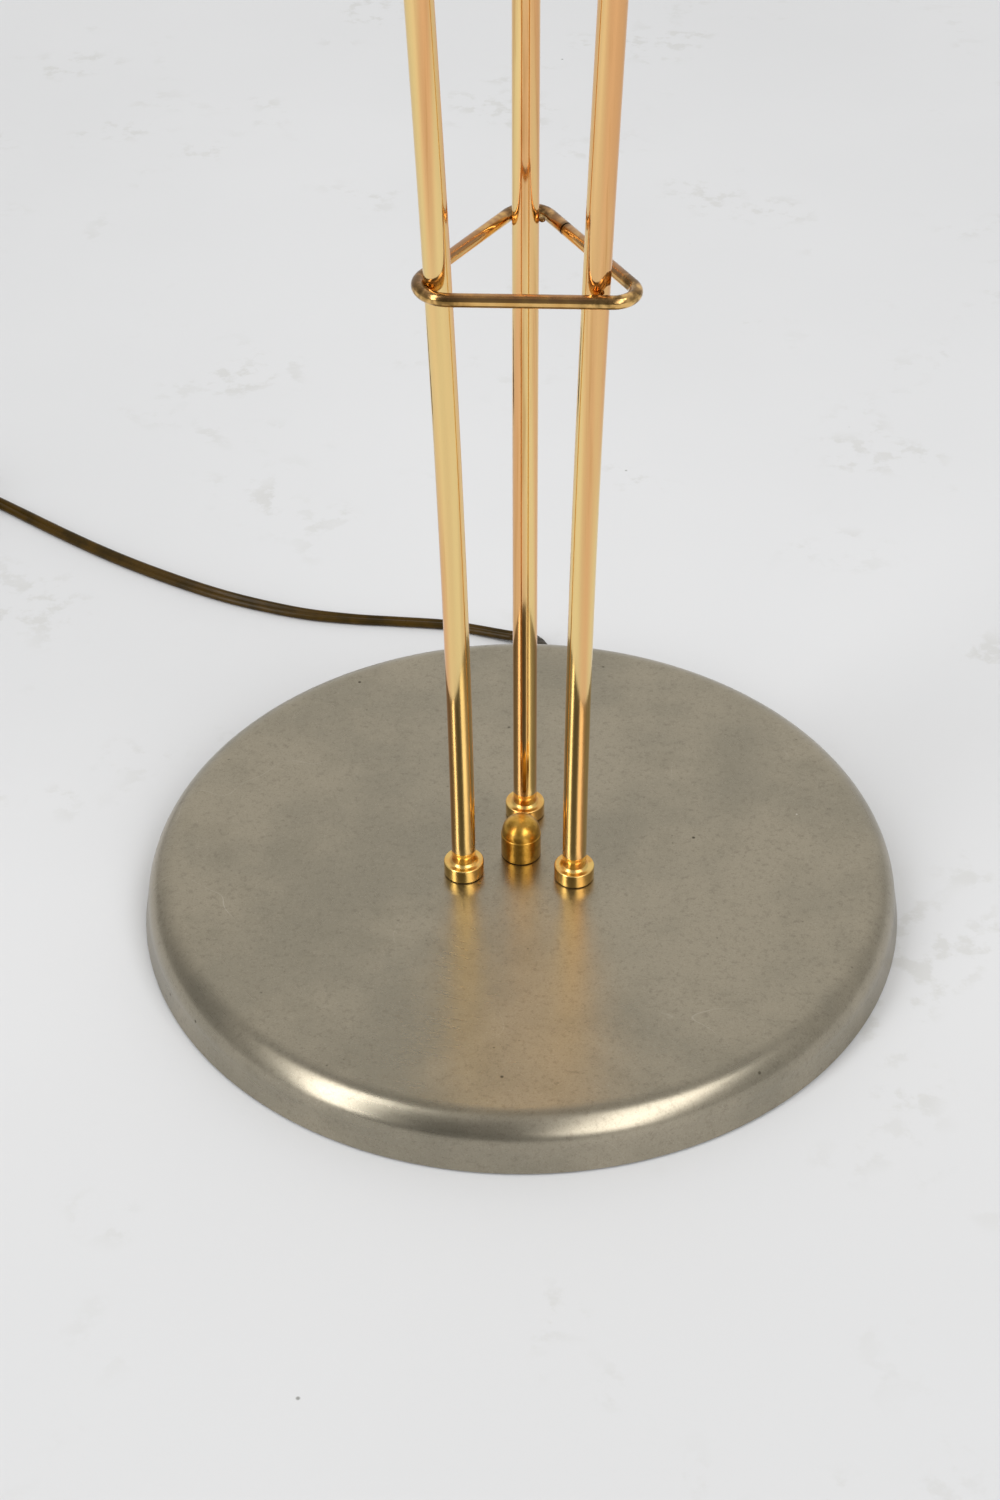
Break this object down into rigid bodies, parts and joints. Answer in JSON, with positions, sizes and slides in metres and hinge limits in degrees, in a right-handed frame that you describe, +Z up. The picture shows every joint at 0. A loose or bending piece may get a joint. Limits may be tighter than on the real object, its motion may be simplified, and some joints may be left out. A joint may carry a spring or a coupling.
{
  "type": "tripod floor lamp",
  "caption": "Floor lamp with slender brass stems flaring from a round nickel base to a small head, with a triangular brace ring, a drum shade and a turn switch.",
  "frame": {"origin": "centre of the round base on the floor", "axes": "+Z up along the lamp, +Y towards the rear stem and the cord's exit, +X to the right as seen from the front"},
  "size_m": [0.5931, 0.5221, 1.5035],
  "materials": {
    "nickel": "satin nickel plate, warm grey, fine grain",
    "brass": "polished, light tarnish at the joints",
    "satin_brass": "satin, a little duller than the stems",
    "steel": "zinc plated",
    "cast_iron": "as cast, painted dark",
    "felt": "felt",
    "cord": "olive brown flexible sheath",
    "rubber": "soft matt",
    "plug": "moulded, semi gloss",
    "phenolic": "moulded black",
    "card": "pressed card liner",
    "opal_glass": "opal white",
    "linen": "plain weave linen on a stiff lining"
  },
  "bodies": {
    "root": {"base_cover": "nickel", "base_felt_pad": "felt", "base_weight": "cast_iron", "brace_ring": "brass", "bulb_base": "steel", "bulb_glass": "opal_glass", "centre_bolt": "steel", "centre_cap_nut": "satin_brass", "centre_washer": "steel", "cord_bushing": "rubber", "cord_coil": "cord", "cord_strain_relief": "rubber", "cord_tail": "cord", "finial": "satin_brass", "foot_collar_left": "brass", "foot_collar_rear": "brass", "foot_collar_right": "brass", "foot_nipple_left": "steel", "foot_nipple_rear": "steel", "foot_nipple_right": "steel", "foot_nut_left": "steel", "foot_nut_rear": "steel", "foot_nut_right": "steel", "harp": "brass", "harp_saddle": "brass", "head_cap_nut": "satin_brass", "head_centre_nipple": "steel", "head_collar_left": "brass", "head_collar_rear": "brass", "head_collar_right": "brass", "head_lid": "nickel", "head_nipple_left": "steel", "head_nipple_rear": "steel", "head_nipple_right": "steel", "head_nut_left": "steel", "head_nut_rear": "steel", "head_nut_right": "steel", "head_pan": "nickel", "inner_lead": "cord", "plug_blade_left": "brass", "plug_blade_right": "brass", "plug_body": "plug", "shade_bottom_ring": "brass", "shade_skin": "linen", "shade_spider": "brass", "socket_cap": "brass", "socket_centre_contact": "brass", "socket_core": "phenolic", "socket_liner": "card", "socket_screw_shell": "brass", "socket_shell": "brass", "stem_left": "brass", "stem_rear": "brass", "stem_right": "brass", "supply_cord": "cord"},
    "switch": {"switch_spindle": "steel", "switch_knob": "phenolic"}
  },
  "joints": [
    {"name": "switch_turn", "type": "hinge", "parent": "root", "child": "switch", "pos_m": [0, -0.0294, 1.2479], "axis": [0, -1, 0], "continuous": true}
  ]
}
